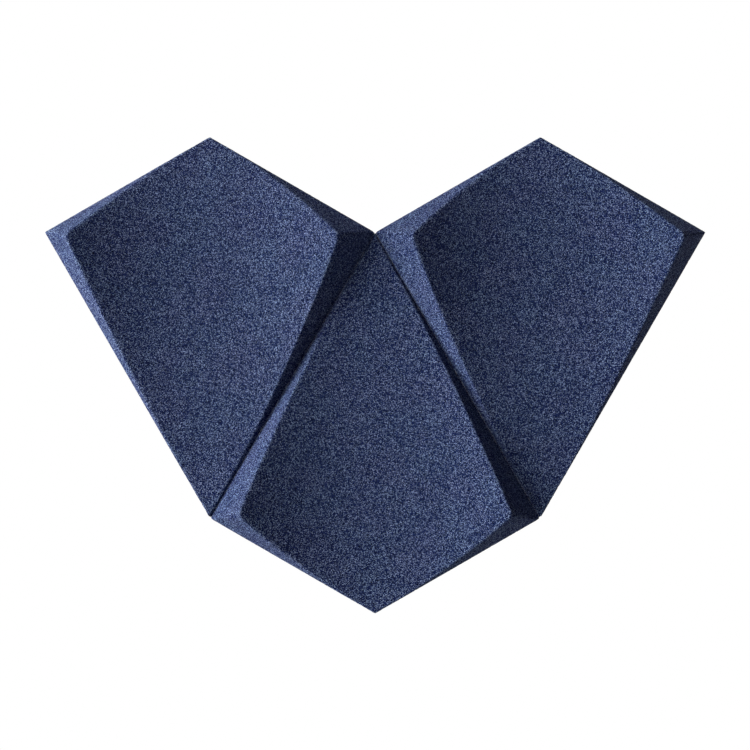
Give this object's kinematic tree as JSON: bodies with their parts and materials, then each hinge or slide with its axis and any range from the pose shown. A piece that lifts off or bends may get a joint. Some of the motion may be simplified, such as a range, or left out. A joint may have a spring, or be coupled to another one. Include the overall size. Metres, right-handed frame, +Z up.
{
  "type": "cork acoustic wall panel",
  "caption": "Kite-shaped tiles of moulded dyed cork, hollow faces rising to raised wing corners, set edge to edge on a wall with self-adhesive foam pads.",
  "frame": {"origin": "middle of the lower tile's centre pad, on the face that sticks to the wall; it is also the centroid of the lower tile's outline", "axes": "+Y into the wall, +Z up the wall, +X to the right as seen from the room"},
  "size_m": [0.6606, 0.0492, 0.4766],
  "materials": {
    "dyed_cork": "matt granular cork, dyed navy blue through",
    "pad_foam": "white double-sided foam tape"
  },
  "bodies": {
    "root": {"left_tile": "dyed_cork", "left_tile_pad_centre": "pad_foam", "left_tile_pad_crown": "pad_foam", "left_tile_pad_tail": "pad_foam", "left_tile_pad_right_wing": "pad_foam", "left_tile_pad_left_wing": "pad_foam", "lower_tile": "dyed_cork", "lower_tile_pad_centre": "pad_foam", "lower_tile_pad_crown": "pad_foam", "lower_tile_pad_tail": "pad_foam", "lower_tile_pad_right_wing": "pad_foam", "lower_tile_pad_left_wing": "pad_foam", "right_tile": "dyed_cork", "right_tile_pad_centre": "pad_foam", "right_tile_pad_crown": "pad_foam", "right_tile_pad_tail": "pad_foam", "right_tile_pad_right_wing": "pad_foam", "right_tile_pad_left_wing": "pad_foam"}
  },
  "joints": []
}
